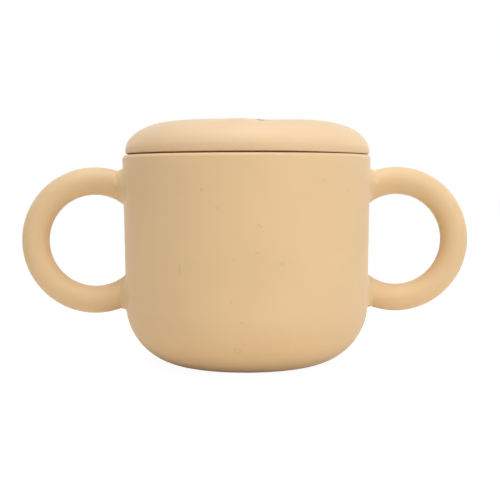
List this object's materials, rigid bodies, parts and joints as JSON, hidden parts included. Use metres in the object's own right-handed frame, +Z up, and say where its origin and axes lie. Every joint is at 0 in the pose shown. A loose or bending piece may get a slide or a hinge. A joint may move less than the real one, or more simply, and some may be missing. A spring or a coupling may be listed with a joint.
{
  "type": "toddler snack container",
  "caption": "Soft silicone snack cup with a round bottom, ring handles at both sides and a domed plug-in lid whose star-cut petals let a small hand in.",
  "frame": {"origin": "middle of the flat base, on the surface that the cup stands on", "axes": "+Z up along the cup's axis, the handles along X, the front of the picture towards -Y"},
  "size_m": [0.1512, 0.0834, 0.0815],
  "materials": {
    "cup_silicone": "matte moulded silicone, sand beige",
    "lid_silicone": "matte moulded silicone, sand beige",
    "petal_silicone": "matte moulded silicone, thin and flexible, sand beige"
  },
  "bodies": {
    "cup": {"cup_body": "cup_silicone", "left_handle": "cup_silicone", "right_handle": "cup_silicone"},
    "lid": {"lid": "lid_silicone"},
    "petal_1": {"petal_1": "petal_silicone"},
    "petal_2": {"petal_2": "petal_silicone"},
    "petal_3": {"petal_3": "petal_silicone"},
    "petal_4": {"petal_4": "petal_silicone"},
    "petal_5": {"petal_5": "petal_silicone"},
    "petal_6": {"petal_6": "petal_silicone"}
  },
  "joints": [
    {"name": "lid_lift", "type": "slide", "parent": "cup", "child": "lid", "axis": [0, 0, 1], "range_m": [0, 0.04]},
    {"name": "petal_1_fold", "type": "hinge", "parent": "lid", "child": "petal_1", "pos_m": [-0.00931, -0.02192, 0.0807], "axis": [-0.9205, 0.3907, 0], "range_deg": [-70, 80], "stiffness_Nm_per_rad": 0.005},
    {"name": "petal_2_fold", "type": "hinge", "parent": "lid", "child": "petal_2", "pos_m": [0.01433, -0.01902, 0.0807], "axis": [-0.7986, -0.6018, 0], "range_deg": [-70, 80], "stiffness_Nm_per_rad": 0.005},
    {"name": "petal_3_fold", "type": "hinge", "parent": "lid", "child": "petal_3", "pos_m": [0.02364, 0.0029, 0.0807], "axis": [0.1219, -0.9925, 0], "range_deg": [-70, 80], "stiffness_Nm_per_rad": 0.005},
    {"name": "petal_4_fold", "type": "hinge", "parent": "lid", "child": "petal_4", "pos_m": [0.00931, 0.02192, 0.0807], "axis": [0.9205, -0.3907, 0], "range_deg": [-70, 80], "stiffness_Nm_per_rad": 0.005},
    {"name": "petal_5_fold", "type": "hinge", "parent": "lid", "child": "petal_5", "pos_m": [-0.01433, 0.01902, 0.0807], "axis": [0.7986, 0.6018, 0], "range_deg": [-70, 80], "stiffness_Nm_per_rad": 0.005},
    {"name": "petal_6_fold", "type": "hinge", "parent": "lid", "child": "petal_6", "pos_m": [-0.02364, -0.0029, 0.0807], "axis": [-0.1219, 0.9925, 0], "range_deg": [-70, 80], "stiffness_Nm_per_rad": 0.005}
  ]
}
